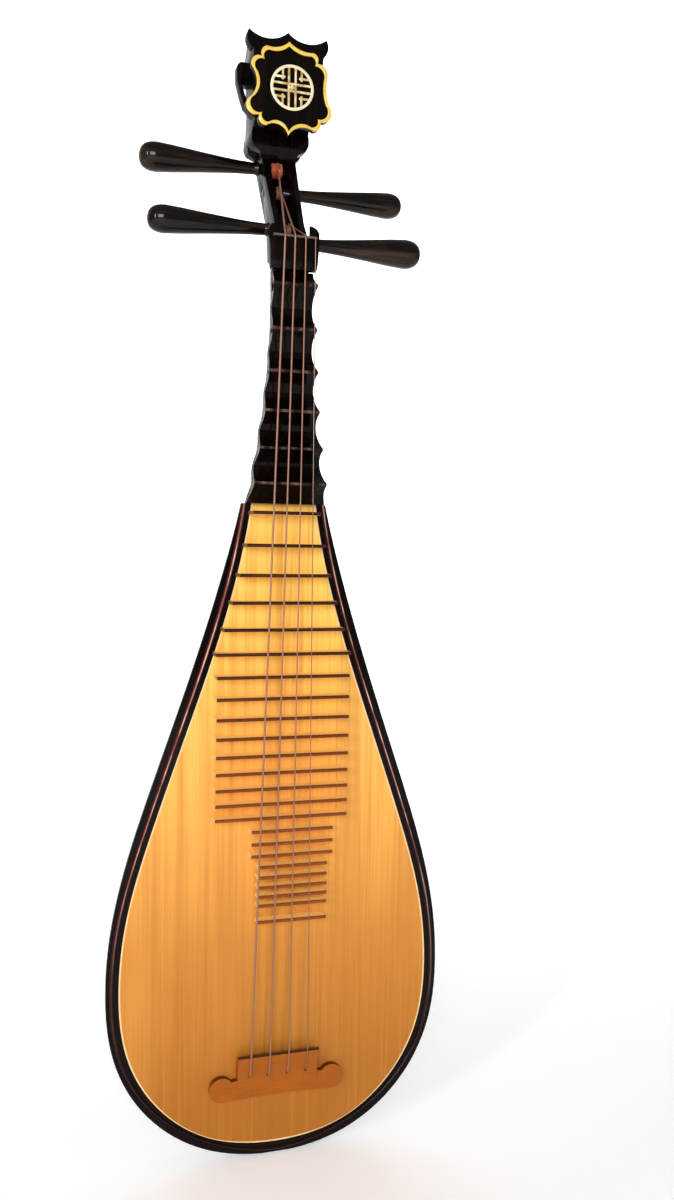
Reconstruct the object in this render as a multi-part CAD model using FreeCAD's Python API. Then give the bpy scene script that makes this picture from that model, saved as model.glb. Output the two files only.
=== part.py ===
import FreeCAD, Part
import math
import os

# A four-string pear-shaped lute, standing upright: +Z runs up the strings to the head,
# the soundboard faces -Y, and +X is on the viewer's right. All sizes are in millimetres.
# The origin is on the neck, in the soundboard's plane, where a wall hanger takes the neck
# just below the shoulders of the nut block.

V = FreeCAD.Vector

# ---- strings and frets ----------------------------------------------------------------
scale_length = 720.0            # sounding length, nut to bridge
nut_height = 30.0               # nut line above the origin
bridge_string_height = 13.0     # strings above the soundboard's plane at the bridge
nut_string_height = 29.0        # and at the nut
nut_action = 0.8                # string above the highest fret top
bridge_action = 4.2             # and above a fret set at the bridge
nut_string_x = (-9.3, -0.4, 9.0, 17.6)
bridge_string_x = (-27.2, -9.8, 7.6, 25.0)
string_radius = (0.85, 0.75, 0.6, 0.4)
string_bend = 2.0
block_fret_count = 6            # carved blocks on the neck
block_end_rise = 7.0            # how far a block stands up at its ends
strip_fret_semitones = list(range(7, 30)) + [31]
strip_fret_thickness = 3.0
strip_fret_tuning = {7: 3.0, 8: 1.6, 9: 0.9, 10: 0.9}   # set higher than equal steps
# (first semitone, width or None to reach the soundboard's edges, sideways offset)
strip_fret_groups = ((7, None, -1.8), (13, 120.0, -1.7), (22, 74.5, 8.4), (25, 63.2, 9.3))

# ---- body -----------------------------------------------------------------------------
# (height above the bridge line, half width), from the neck down to the tail
body_outline = ((492, 38.5), (394, 65), (297, 97), (200, 130), (133, 147.5), (67, 154),
                (0, 145), (-49, 116.5), (-86, 64.5), (-97.7, 0))
soundboard_outline = ((492, 29.5), (394, 51), (297, 83), (200, 116.5), (133, 135.5),
                      (67, 142.7), (0, 133), (-43, 107), (-74.5, 65), (-87.3, 0))
outline_runs = 8
body_top = 492.0                # where the soundboard meets the neck
body_tail = -97.7
body_depth = 50.0
deepest_height = 60.0           # above the bridge line
bowl_roundness = 2.3            # exponent of the rounded section, 2 is an ellipse
wall_thickness = 7.0
soundboard_thickness = 4.5
ledge_width = 5.0               # under the soundboard's edge
purfling_width = 1.4
purfling_depth = 2.0
binding_width = 4.0
binding_depth = 1.6
binding_inset = 4.4             # from the soundboard's edge to the binding

# ---- neck, nut block and pegbox --------------------------------------------------------
# (height above the bridge line, half width, depth)
neck_sections = ((body_top, 32.8, 28.0), (519, 28.2, 27.5), (545, 24.2, 27), (575, 20.2, 26),
                 (606, 17.4, 25.5), (640, 15.6, 25), (675, 15.4, 25), (705, 15.4, 25))
neck_roundness = 2.2
neck_end = 705.0
neck_front_rise = 10.0          # the neck's front leans forward by this much at its end
ridge_half = (19.8, 20.0, 22.0, 24.6, 28.4, 32.7)
block_lean = 1.5                # the blocks' shift towards +X at the nut end
valley_flare = 2.8              # how far a block's ends stand out past the neck
nut_block_bottom = 692.0
nut_block_half = 22.6
nut_block_foot_half = 20.4
nut_block_front = 26.5          # forward of the soundboard's plane
nut_block_back = 18.2           # forward of the soundboard's plane
nut_shoulder_top = 731.0
nut_half = 19.2
nut_gap_half = 14.8             # between the block's shoulders
nut_thickness = 3.0
nut_seat_depth = 6.0
pegbox_half_low = 13.4
pegbox_half_high = 16.2
pegbox_front_bend = (-6.5, 736.5)
pegbox_front_low = 721.5
pegbox_top_front = (33.0, 803.0)
pegbox_top_tip = (44.0, 816.0)
pegbox_top_back = (61.0, 804.0)
pegbox_back_low = (15.0, 705.0)
pegbox_back_bend = (24.0, 738.0)
slot_half = 8.6
slot_bottom = 710.5
slot_top = 805.0
slot_back_wall = 4.0

# ---- pegs -----------------------------------------------------------------------------
# (side, distance back, height above the bridge line, reach, knob radius)
pegs = ((1, -12.0, 717.6, 119.5, 12.8), (-1, 9.5, 733.0, 121.0, 12.0),
        (1, 31.0, 772.3, 117.0, 11.6), (-1, 42.0, 795.5, 124.0, 12.8))
# string held by each peg, and its winding's sideways place, half width and radius
windings = ((4, 5.6, 2.4, 5.8), (3, 3.0, 2.4, 5.8), (2, -1.0, 2.4, 5.8), (1, 0.0, 5.5, 6.8))
peg_shaft_radius = 4.4
peg_clearance = 0.07
peg_root_radius = 5.6
peg_root_gap = 0.8              # from the cheek to the handle
string_peg_gap = 0.35

# ---- bridge ---------------------------------------------------------------------------
bridge_half = 37.5
bridge_centre_x = -1.1
bridge_foot = -41.0             # below the bridge line
bridge_face_depth = 7.5         # thickness of the sloping face at the string holes
bridge_wing_height = 6.0
bridge_wing_reach = 51.0
bridge_wing_radius = 11.0
bridge_wing_drop = -31.0
bridge_edge_low = 1.9           # the hard edge's foot and crest, below the bridge line
bridge_edge_crest = 1.1
bridge_edge_top = 0.4
bridge_edge_depth = 2.5
string_hole_drop = -21.0
string_hole_radius = 1.3

# ---- head -----------------------------------------------------------------------------
shield_centre = 850.0           # above the bridge line
medallion_rise = 2.0            # of the medallion's centre over the shield's
shield_front = 4.0              # forward of the soundboard's plane
shield_thickness = 5.0
# halves of the scalloped shield, (distance out, height above the centre), top to bottom;
# the middle point of each three is the crest of an arc; the right side is less waisted
shield_left = (((1.5, 40.5), (9, 35.5), (21, 34.5)), ((21, 34.5), (26, 30.5), (25.5, 25)),
               ((25.5, 25), (33, 23.5), (34.5, 16)), ((34.5, 16), (30, 2), (35.5, -10)),
               ((35.5, -10), (39, -18.5), (27.5, -24)), ((27.5, -24), (27, -30), (21, -32.5)),
               ((21, -32.5), (8.5, -31), (1.5, -39)))
shield_right = (((-1.5, 40.5), (8, 35), (20, 34)), ((20, 34), (24.5, 30.5), (24, 25.5)),
                ((24, 25.5), (31, 23), (33.5, 15)), ((33.5, 15), (33, 0), (35.5, -10)),
                ((35.5, -10), (36.5, -20), (27.5, -24)), ((27.5, -24), (26.5, -30), (21, -32.5)),
                ((21, -32.5), (8.5, -31), (-1.5, -39)))
shield_band_width = 0.91        # share of the outline's size where the band ends
shield_band_height = 2.0
medallion_shift = 1.4           # of the medallion's centre to the right
medallion_radius = 19.4
medallion_thickness = 2.0

# ---- inside the body ------------------------------------------------------------------
brace_heights = (250.0, 90.0)
brace_width = 9.0
brace_height = 12.0
post_radius = 4.0
post_place = (20.0, 25.0)       # sideways, above the bridge line


def up(height):
    """Row height of a place given above the bridge's string line."""
    return nut_height - scale_length + height


def save(node, shape):
    if not shape.isValid():
        raise ValueError(node + " is not a valid shape")
    shape.exportStep("parts/" + node + ".step")
    print(node, len(shape.Solids), round(shape.Volume))


def string_height(height):
    share = height / scale_length
    return bridge_string_height + (nut_string_height - bridge_string_height) * share


def fret_top(height):
    share = height / scale_length
    return string_height(height) - (bridge_action + (nut_action - bridge_action) * share)


def fret_height(semitone):
    return scale_length * 2 ** (-semitone / 12)


def plate(points, front, back):
    """Prism of an outline of (x, height above the bridge) between two distances back."""
    corners = [V(x, front, up(h)) for x, h in points]
    face = Part.Face(Part.makePolygon(corners + [corners[0]]))
    return face.extrude(V(0, back - front, 0))


def side_plate(points, half):
    """Prism of a side view of (distance back, height above the bridge), centred on x = 0."""
    corners = [V(-half, y, up(h)) for y, h in points]
    face = Part.Face(Part.makePolygon(corners + [corners[0]]))
    return face.extrude(V(2 * half, 0, 0))


# ---- outlines --------------------------------------------------------------------------
def pear_curve(points, y=0.0):
    """Smooth pear outline from the neck down the right, round the tail and up the left."""
    right = [V(w, y, up(h)) for h, w in points]
    left = [V(-p.x, p.y, p.z) for p in reversed(right[:-1])]
    curve = Part.BSplineCurve()
    curve.interpolate(Points=right + left)
    return curve


def pear_face(points, y=0.0):
    """Flat face inside a pear outline, its curve divided into equal runs."""
    curve = pear_curve(points, y)
    first, last = curve.FirstParameter, curve.LastParameter
    ends = [first + (last - first) * run / outline_runs for run in range(outline_runs + 1)]
    edges = [curve.toShape(start, end) for start, end in zip(ends, ends[1:])]
    edges.append(Part.makeLine(curve.value(last), curve.value(first)))
    return Part.Face(Part.Wire(edges))


def half_width(curve, z):
    """Half width of an outline at a row height, by halving the curve's right-hand range."""
    low = curve.FirstParameter
    high = (curve.FirstParameter + curve.LastParameter) / 2
    for _ in range(50):
        middle = (low + high) / 2
        if curve.value(middle).z > z:
            low = middle
        else:
            high = middle
    return curve.value(low).x


def inset_outline(points, inset):
    """Outline moved inwards, keeping its tail on the centre line."""
    moved = [(h, w - inset) for h, w in points[:-1]]
    return moved + [(points[-1][0] + inset, 0)]


# ---- body ------------------------------------------------------------------------------
def rounded_section(half, depth, roundness, height, front=0.0):
    """Closed section: flat in front, a rounded back."""
    count = 12
    points = []
    for step in range(count + 1):
        angle = math.pi * step / count
        x = half * math.copysign(abs(math.cos(angle)) ** (2 / roundness), math.cos(angle))
        y = front + depth * abs(math.sin(angle)) ** (2 / roundness)
        points.append(V(x, y, up(height)))
    back = Part.BSplineCurve()
    back.interpolate(Points=points)
    flat = Part.makeLine(points[-1], points[0])
    return Part.Wire([back.toShape(), flat])


def bowl_depth(height, depth, tail):
    """Depth of the back: neck depth at the top, deepest low down, nothing at the tail."""
    if height < deepest_height:
        share = (deepest_height - height) / (deepest_height - tail)
        return depth * max(0.0, 1 - share ** 2.4) ** (1 / 2.4)
    neck_depth = neck_sections[0][2] - (body_depth - depth)
    share = (height - deepest_height) / (body_top - deepest_height)
    return neck_depth + (depth - neck_depth) * (0.5 + 0.5 * math.cos(math.pi * share))


def bowl(points, depth, top, front=0.0):
    """Solid bowl behind a pear outline."""
    curve = pear_curve(points)
    tail = points[-1][0]
    upper = [top - (top - deepest_height) * step / 8 for step in range(9)]
    lower = [deepest_height - (deepest_height - tail) * math.sin(math.radians(angle))
             for angle in (18, 35, 50, 62, 72, 80, 86)]
    wires = []
    for height in upper + lower:
        half = half_width(curve, up(height))
        deep = bowl_depth(height, depth, tail)
        wires.append(rounded_section(half, deep, bowl_roundness, height, front))
    return Part.makeLoft(wires, True, False)


def ring_cut(outer, inner, depth):
    """Strip between two pear outlines, let into the front plane by a depth."""
    strip = pear_face(outer).extrude(V(0, depth, 0))
    return strip.cut(pear_face(inner, -1.0).extrude(V(0, depth + 2, 0)))


def purfling():
    outer = soundboard_outline
    return ring_cut(outer, inset_outline(outer, purfling_width), purfling_depth)


def edge_binding():
    outer = inset_outline(soundboard_outline, -binding_inset - binding_width)
    inner = inset_outline(soundboard_outline, -binding_inset)
    return ring_cut(outer, inner, binding_depth)


def soundboard():
    board = pear_face(soundboard_outline).extrude(V(0, soundboard_thickness, 0))
    return board.cut(purfling())


def back_shell():
    shell = bowl(body_outline, body_depth, body_top)
    hollow_outline = inset_outline(soundboard_outline, ledge_width)
    hollow = bowl(hollow_outline, body_depth - wall_thickness, body_top - 45, -0.5)
    shell = shell.cut(hollow)
    shell = shell.cut(pear_face(soundboard_outline).extrude(V(0, soundboard_thickness, 0)))
    return shell.cut(edge_binding())


def braces():
    """Two bars glued across the soundboard's inside face."""
    curve = pear_curve(soundboard_outline)
    bars = []
    for height in brace_heights:
        half = half_width(curve, up(height)) - ledge_width - 14
        bar = plate([(-half, height - brace_width / 2), (half, height - brace_width / 2),
                     (half, height + brace_width / 2), (-half, height + brace_width / 2)],
                    soundboard_thickness, soundboard_thickness + brace_height)
        bars.append(bar)
    return Part.makeCompound(bars)


def sound_post():
    x, height = post_place
    length = body_depth - wall_thickness - soundboard_thickness - 4
    return Part.makeCylinder(post_radius, length, V(x, soundboard_thickness, up(height)),
                             V(0, 1, 0))


# ---- neck and frets --------------------------------------------------------------------
def neck_front(height):
    """How far the neck's front stands forward of the soundboard's plane."""
    return neck_front_rise * max(0.0, height - body_top) / (neck_end - body_top)


def neck():
    wires = [rounded_section(half, depth, neck_roundness, height, -neck_front(height))
             for height, half, depth in neck_sections]
    return Part.makeLoft(wires, True, False)


def neck_half(height):
    """Half width of the neck's front at a height, between its stated sections."""
    for (low, half_low, _), (high, half_high, _) in zip(neck_sections, neck_sections[1:]):
        if height <= high:
            share = (height - low) / (high - low)
            return half_low + (half_high - half_low) * share
    return neck_sections[-1][1]


def block_fret_ends(number):
    """Lowest and highest place of a carved block, half way to its neighbours."""
    ridge = fret_height(number)
    high = nut_block_bottom if number == 1 else (ridge + fret_height(number - 1)) / 2
    low = body_top if number == block_fret_count else (ridge + fret_height(number + 1)) / 2
    return low, high


def block_fret(number):
    """Saddle-shaped block: low wide ends, a high ridge under the strings, waisted sides."""
    low, high = block_fret_ends(number)
    ridge = fret_height(number)
    ridge_rise = fret_top(ridge) - neck_front(ridge)
    flat = 0.06
    wires = []
    for step in (-1, -0.8, -0.6, -0.4, -0.2, -flat, flat, 0.2, 0.4, 0.6, 0.8, 1):
        height = ridge + step * ((high - ridge) if step > 0 else (ridge - low))
        share = (1 - max(0.0, abs(step) - flat) / (1 - flat)) ** 1.7
        rise = block_end_rise + (ridge_rise - block_end_rise) * share
        lean = block_lean * neck_front(height) / neck_front_rise
        base = neck_half(height) + 0.5 + (valley_flare - 0.5) * (1 - share)
        crest = base + (ridge_half[number - 1] - base) * share
        waist = (base + crest) / 2 - 1.2 * share
        front = -neck_front(height)
        corners = [(-base, 0), (-waist, 0.45 * rise), (-crest, rise), (crest, rise),
                   (waist, 0.45 * rise), (base, 0)]
        corners = [V(x + lean, front - forward, up(height)) for x, forward in corners]
        wires.append(Part.makePolygon(corners + [corners[0]]))
    return Part.makeLoft(wires, True, True)


def strip_fret(semitone):
    """Bamboo strip on edge, with a rounded top."""
    height = fret_height(semitone) + strip_fret_tuning.get(semitone, 0.0)
    width, offset = [(w, x) for first, w, x in strip_fret_groups if first <= semitone][-1]
    if width is None:
        width = 2 * (half_width(pear_curve(soundboard_outline), up(height)) - 0.4)
    top = fret_top(height)
    half = strip_fret_thickness / 2
    left = offset - width / 2
    foot_low = V(left, 0, up(height - half))
    foot_high = V(left, 0, up(height + half))
    shoulder_low = V(left, half - top, up(height - half))
    shoulder_high = V(left, half - top, up(height + half))
    crown = V(left, -top, up(height))
    edges = [Part.makeLine(foot_high, foot_low), Part.makeLine(foot_low, shoulder_low),
             Part.Arc(shoulder_low, crown, shoulder_high).toShape(),
             Part.makeLine(shoulder_high, foot_high)]
    return Part.Face(Part.Wire(edges)).extrude(V(width, 0, 0))


def nut_block():
    """Upright block in front of the neck's end: a seat for the nut between two shoulders."""
    seat = scale_length - nut_thickness / 2
    nut_back = -nut_string_height + nut_seat_depth
    shoulder_front = -nut_string_height + 4.5
    radius = 8.0
    knee = radius * (1 - math.sqrt(0.5))
    top_half = nut_block_half - radius
    foot = V(nut_block_foot_half, 0, up(nut_block_bottom))
    hip = V(nut_block_half, 0, up(nut_shoulder_top - radius))
    crown = V(top_half, 0, up(nut_shoulder_top))
    knee_point = V(nut_block_half - knee, 0, up(nut_shoulder_top - knee))
    edges = [Part.makeLine(foot, hip), Part.Arc(hip, knee_point, crown).toShape()]
    mirrored = [edge.mirror(V(0, 0, 0), V(1, 0, 0)) for edge in edges]
    across = [Part.makeLine(V(-crown.x, 0, crown.z), crown),
              Part.makeLine(V(-foot.x, 0, foot.z), foot)]
    outline = Part.Face(Part.Wire(Part.__sortEdges__(edges + mirrored + across)))
    outline.translate(V(0, -nut_string_height - 2, 0))
    block = outline.extrude(V(0, nut_string_height + 2, 0))
    side = [(-nut_block_front + 3, nut_block_bottom), (-nut_block_front, 697),
            (-nut_block_front, seat), (shoulder_front, seat), (shoulder_front, seat + 5),
            (shoulder_front + 3, nut_shoulder_top), (-nut_block_back, nut_shoulder_top),
            (-nut_block_back, nut_block_bottom)]
    block = block.common(side_plate(side, nut_block_half + 5))
    foot = side_plate([(-nut_block_back, nut_block_bottom), (-nut_block_back, neck_end),
                       (-neck_front(neck_end), neck_end),
                       (-neck_front(nut_block_bottom), nut_block_bottom)],
                      neck_sections[-1][1])
    gap = side_plate([(-40, seat), (0, seat), (0, nut_shoulder_top + 5),
                      (-40, nut_shoulder_top + 5)], nut_gap_half)
    seat_cut = side_plate([(-40, seat), (nut_back, seat), (nut_back, seat + nut_thickness),
                           (-40, seat + nut_thickness)], nut_half)
    well = side_plate([(nut_back, slot_bottom), (0, slot_bottom), (0, seat + 1),
                       (nut_back, seat + 1)], slot_half)
    return block.cut(gap).cut(seat_cut).cut(well).fuse(foot).removeSplitter()


def nut():
    """Thin strip that the strings cross, in its seat on the nut block."""
    low = scale_length - nut_thickness / 2
    high = scale_length + nut_thickness / 2
    front = -nut_string_height
    back = front + nut_seat_depth
    side = [(back, low), (front + 0.2, low), (front, low + 1.2), (front + 0.5, high - 1.2),
            (back, high - 2.0)]
    strip = side_plate(side, nut_half)
    for x, radius in zip(nut_string_x, string_radius):
        half = radius + 0.4
        groove = Part.makeBox(2 * half, radius + 2.0, 2 * nut_thickness,
                              V(x - half, front - 1, up(low) - 1))
        strip = strip.cut(groove)
    return strip


# ---- pegbox ----------------------------------------------------------------------------
def pegbox():
    """Box that bends back from the neck, with a slot for the strings open to the front."""
    side = [(-nut_block_back, neck_end), (-nut_block_back, pegbox_front_low),
            pegbox_front_bend, pegbox_top_front, pegbox_top_tip, pegbox_top_back,
            pegbox_back_bend, pegbox_back_low]
    body = side_plate(side, pegbox_half_high + 1)
    low, high = neck_end - 1, pegbox_top_tip[1] + 1
    flare = [(-pegbox_half_low - 0.6, low), (-pegbox_half_low, pegbox_front_bend[1]),
             (-pegbox_half_high, high)]
    flare = flare + [(-x, h) for x, h in reversed(flare)]
    body = body.common(plate(flare, -60, 80))
    wall = slot_back_wall
    slot = side_plate([(-60, slot_bottom), (-60, pegbox_top_front[1]), pegbox_top_front,
                       (pegbox_top_front[0] + 3, slot_top), (pegbox_top_back[0] - 15, slot_top),
                       (pegbox_top_back[0] - wall - 3.5, slot_top - 8),
                       (pegbox_back_bend[0] - wall - 1.5, pegbox_back_bend[1] + 2),
                       (pegbox_back_low[0] - wall, slot_bottom)], slot_half)
    body = body.cut(slot)
    for _, y, height, *_ in pegs:
        bore = Part.makeCylinder(peg_shaft_radius + peg_clearance, 80, V(-40, y, up(height)),
                                 V(1, 0, 0))
        body = body.cut(bore)
    return body


def pegbox_half(height):
    """Half width of the pegbox at a height."""
    low = pegbox_front_bend[1]
    share = max(0.0, height - low) / (pegbox_top_tip[1] - low)
    return pegbox_half_low + (pegbox_half_high - pegbox_half_low) * share


# ---- pegs ------------------------------------------------------------------------------
def peg_handle(root, reach, knob):
    """Edge of the handle along its length: a slender root that swells to a round knob."""
    length = reach - root
    swell = knob - peg_root_radius
    places = [V(root, 0, peg_root_radius),
              V(root + 0.25 * length, 0, peg_root_radius + 0.16 * swell),
              V(root + 0.55 * length, 0, peg_root_radius + 0.58 * swell),
              V(root + 0.84 * length, 0, knob), V(reach - 0.25 * knob, 0, 0.78 * knob),
              V(reach, 0, 0)]
    handle = Part.BSplineCurve()
    handle.interpolate(Points=places)
    return handle.toShape()


def peg(number):
    """Peg along X: a shaft through both cheeks of the pegbox, and its handle outside."""
    side, y, height, reach, knob = pegs[number - 1]
    cheek = pegbox_half(height)
    root = cheek + peg_root_gap
    line = [V(root, 0, peg_root_radius), V(root, 0, peg_shaft_radius),
            V(-cheek, 0, peg_shaft_radius), V(-cheek, 0, 0), V(reach, 0, 0)]
    edges = [Part.makeLine(a, b) for a, b in zip(line, line[1:])]
    edges.append(peg_handle(root, reach, knob))
    face = Part.Face(Part.Wire(Part.__sortEdges__(edges)))
    solid = face.revolve(V(0, 0, 0), V(1, 0, 0), 360)
    if side < 0:
        solid.rotate(V(0, 0, 0), V(0, 1, 0), 180)
    solid.translate(V(0, y, up(height)))
    return solid


def winding(number):
    """Turns of string on the peg's shaft, as one ring."""
    _, y, height, *_ = pegs[number - 1]
    _, x, half, radius = windings[number - 1]
    end = V(x - half, y, up(height))
    outer = Part.makeCylinder(radius, 2 * half, end, V(1, 0, 0))
    inner = Part.makeCylinder(peg_shaft_radius, 2 * half, end, V(1, 0, 0))
    return outer.cut(inner)


# ---- strings ---------------------------------------------------------------------------
def tube(points, radius, bend):
    """Round rod along straight runs joined by tangent arcs."""
    edges = []
    start = points[0]
    for before, corner, after in zip(points, points[1:], points[2:]):
        back = (before - corner).normalize()
        ahead = (after - corner).normalize()
        half_turn = (math.pi - back.getAngle(ahead)) / 2
        trim = min(bend * math.tan(half_turn), 0.45 * (before - corner).Length,
                   0.45 * (after - corner).Length)
        first = corner + back * trim
        last = corner + ahead * trim
        middle_way = (back + ahead).normalize()
        arc_radius = trim / math.tan(half_turn)
        centre = corner + middle_way * (arc_radius / math.cos(half_turn))
        edges.append(Part.makeLine(start, first))
        edges.append(Part.Arc(first, centre - middle_way * arc_radius, last).toShape())
        start = last
    edges.append(Part.makeLine(start, points[-1]))
    path = Part.Wire(edges)
    profile = Part.Wire(Part.makeCircle(radius, points[0], points[1] - points[0]))
    return path.makePipeShell([profile], True, False)


def string_path(number):
    """From the hole in the bridge's face, over its edge and the nut, to the peg's winding."""
    radius = string_radius[number - 1]
    hole_x = bridge_string_x[number - 1]
    place = [string for string, *_ in windings].index(number)
    _, peg_y, peg_height, *_ = pegs[place]
    _, winding_x, _, winding_radius = windings[place]
    over_bridge = V(hole_x, -bridge_string_height - radius, up(0.6 - bridge_edge_crest))
    over_nut = V(nut_string_x[number - 1], -nut_string_height - radius * 0.2,
                 up(scale_length))
    # the string meets the winding on the side that faces the front
    away = V(0, over_nut.y - peg_y, over_nut.z - up(peg_height))
    reach = winding_radius + radius + string_peg_gap
    lean = math.acos(reach / away.Length)
    away.normalize()
    touch = V(winding_x,
              peg_y + reach * (away.y * math.cos(lean) - away.z * math.sin(lean)),
              up(peg_height) + reach * (away.z * math.cos(lean) + away.y * math.sin(lean)))
    if touch.z < over_nut.z or touch.y > peg_y:
        touch = V(winding_x,
                  peg_y + reach * (away.y * math.cos(lean) + away.z * math.sin(lean)),
                  up(peg_height) + reach * (away.z * math.cos(lean) - away.y * math.sin(lean)))
    face = -bridge_face(string_hole_drop)
    front_of_hole = V(hole_x, face - radius - 1.5, up(string_hole_drop))
    into_hole = V(hole_x, face + 4.0, up(string_hole_drop))
    return [into_hole, front_of_hole, over_bridge, over_nut, touch]


def string(number):
    return tube(string_path(number), string_radius[number - 1], string_bend)


# ---- bridge ----------------------------------------------------------------------------
def bridge_face(height):
    """Height of the bridge's sloping face above the soundboard."""
    top = bridge_string_height - 1.0
    share = min(1.0, height / string_hole_drop)
    return top + (bridge_face_depth - top) * share


def bridge():
    """Low block with a sloping face, and a round lobe at each end."""
    half = bridge_half - 0.5
    side = [(0, -7), (-bridge_face(0) + bridge_edge_depth, -bridge_edge_low),
            (-bridge_face(0), -bridge_edge_low), (-bridge_face_depth, string_hole_drop - 3),
            (-bridge_wing_height + 1, bridge_foot), (0, bridge_foot)]
    block = side_plate(side, half)
    wing = Part.makeCylinder(bridge_wing_radius, bridge_wing_height,
                             V(bridge_wing_reach, 0, up(bridge_wing_drop)), V(0, -1, 0))
    arm = plate([(half - 12, bridge_wing_drop + 9), (bridge_wing_reach, bridge_wing_drop + 5),
                 (bridge_wing_reach, bridge_wing_drop - 10.5), (half - 12, bridge_foot)],
                0, -bridge_wing_height)
    lobe = wing.fuse(arm)
    other = lobe.mirror(V(0, 0, 0), V(1, 0, 0))
    shape = block.fuse([lobe, other]).removeSplitter()
    shape.translate(V(bridge_centre_x, 0, 0))
    for x in bridge_string_x:
        hole = Part.makeCylinder(string_hole_radius, 40, V(x, -30, up(string_hole_drop)),
                                 V(0, 1, 0))
        shape = shape.cut(hole)
    return shape


def bridge_edge():
    """Hard strip along the top edge, which the strings cross."""
    back = -bridge_face(0) + bridge_edge_depth
    front = -bridge_string_height + 0.3
    side = [(back, -bridge_edge_low), (front + 1.0, -bridge_edge_low),
            (front, -bridge_edge_crest), (front + 0.8, -bridge_edge_top),
            (back, -bridge_edge_top)]
    strip = side_plate(side, bridge_half)
    strip.translate(V(bridge_centre_x, 0, 0))
    return strip


# ---- head ------------------------------------------------------------------------------
def shield_face(scale, y):
    """Scalloped shield outline, scaled about its centre."""
    edges = []
    for side, outline in ((1, shield_right), (-1, shield_left)):
        for arc in outline:
            a, b, c = [V(side * x * scale, y, up(shield_centre + h * scale)) for x, h in arc]
            edges.append(Part.Arc(a, b, c).toShape())
    return Part.Face(Part.Wire(Part.__sortEdges__(edges)))


def shield_plate():
    return shield_face(1.0, -shield_front).extrude(V(0, shield_thickness, 0))


def shield_band():
    """Raised band round the shield's edge."""
    front = -shield_front - shield_band_height
    band = shield_face(1.0, front).extrude(V(0, shield_band_height, 0))
    inner = shield_face(shield_band_width, front - 1).extrude(V(0, shield_band_height + 2, 0))
    return band.cut(inner)


def medallion():
    """Openwork round plate: a rim, a cross, and corner frets between the cross's arms."""
    front = -shield_front - medallion_thickness
    centre = V(medallion_shift, front, up(shield_centre + medallion_rise))
    back = V(0, 1, 0)
    disc = Part.makeCylinder(medallion_radius, medallion_thickness, centre, back)
    disc = disc.cut(Part.makeCylinder(medallion_radius - 2.4, medallion_thickness, centre, back))
    bars = []
    for x, h, half_x, half_h in medallion_bars():
        bars.append(Part.makeBox(2 * half_x, medallion_thickness, 2 * half_h,
                                 V(centre.x + x - half_x, front, centre.z + h - half_h)))
    return disc.fuse(bars).removeSplitter()


def medallion_bars():
    """Centre, half width and half height of each straight bar of the fretwork."""
    bar = 0.9
    reach = medallion_radius - 1.5
    quarter = [(3.0, reach / 2, bar, reach / 2), (reach / 2, 3.0, reach / 2, bar),
               (8.4, 10.6, bar, 4.4), (10.6, 8.4, 4.4, bar)]
    bars = [(sx * x, sh * h, half_x, half_h) for x, h, half_x, half_h in quarter
            for sx in (1, -1) for sh in (1, -1)]
    return bars + [(0, 0, 3.9, bar), (0, 0, bar, 3.9)]


def head_block():
    """Carved block that carries the shield: a flared collar, then a wedge leaning forward."""
    side = [pegbox_top_front, pegbox_top_tip, pegbox_top_back, (62, 813), (60, 824), (55, 833),
            (47, 846), (42, 862), (40, 882), (28, 897), (1, 890), (1, 842), (27, 826),
            (27, 812), (31, 806)]
    left = [(-17, 798), (-17, 808), (-24, 811), (-26.5, 816), (-26.5, 822), (-25.5, 828),
            (-26.5, 840), (-28.5, 856), (-31.5, 882), (-31.5, 900)]
    front = plate(left + [(-x, h) for x, h in reversed(left)], -10, 90)
    block = side_plate(side, 40).common(front)
    return block.fuse([ear(1), ear(-1)]).removeSplitter()


def ear(side):
    """Side scroll: a lobe joined to the head, and a stem that leaves a gap below it."""
    disc = Part.makeCylinder(5.2, 10.0, V(side * 36.1, 23, up(875)), V(0, 1, 0))
    outline = [(41.3, 875), (41.0, 864), (37.4, 851), (34.2, 842), (26, 834), (24, 840),
               (30, 845), (33.4, 851), (36.4, 860.5), (24, 861), (24, 879), (36, 880.2)]
    return disc.fuse(plate([(side * x, h) for x, h in outline], 23, 33))


def crest():
    """Thin top board with two horns and a centre peak."""
    front = 4.0
    horn = V(35.0, front, up(901.5))
    brow = V(31.5, front, up(885))
    edges = [Part.Arc(V(0, front, up(902.8)), V(16.5, front, up(895.6)), horn).toShape(),
             Part.Arc(horn, V(36.9, front, up(895)), brow).toShape()]
    mirrored = [edge.mirror(V(0, 0, 0), V(1, 0, 0)) for edge in edges]
    foot = Part.makeLine(V(-brow.x, front, brow.z), brow)
    face = Part.Face(Part.Wire(Part.__sortEdges__(edges + mirrored + [foot])))
    return face.extrude(V(0, 9, 0)).cut(head_block())


# ---- write every piece -----------------------------------------------------------------
def main():
    os.makedirs("parts", exist_ok=True)
    save("back_shell", back_shell())
    save("soundboard", soundboard())
    save("purfling", purfling())
    save("edge_binding", edge_binding())
    save("sound_braces", braces())
    save("sound_post", sound_post())
    save("neck", neck())
    save("nut_block", nut_block())
    save("nut", nut())
    for number in range(1, block_fret_count + 1):
        save("block_fret_" + str(number), block_fret(number))
    for number, semitone in enumerate(strip_fret_semitones, 1):
        save("strip_fret_%02d" % number, strip_fret(semitone))
    save("pegbox", pegbox())
    for number in (1, 2, 3, 4):
        save("peg_" + str(number), peg(number))
        save("winding_" + str(number), winding(number))
        save("string_" + str(number), string(number))
    save("bridge", bridge())
    save("bridge_edge", bridge_edge())
    save("head_block", head_block())
    save("crest", crest())
    save("shield_plate", shield_plate())
    save("shield_band", shield_band())
    save("medallion", medallion())


main()
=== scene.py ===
"""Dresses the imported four-string lute: smooth pieces, finishes, stage and camera."""
import math

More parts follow.
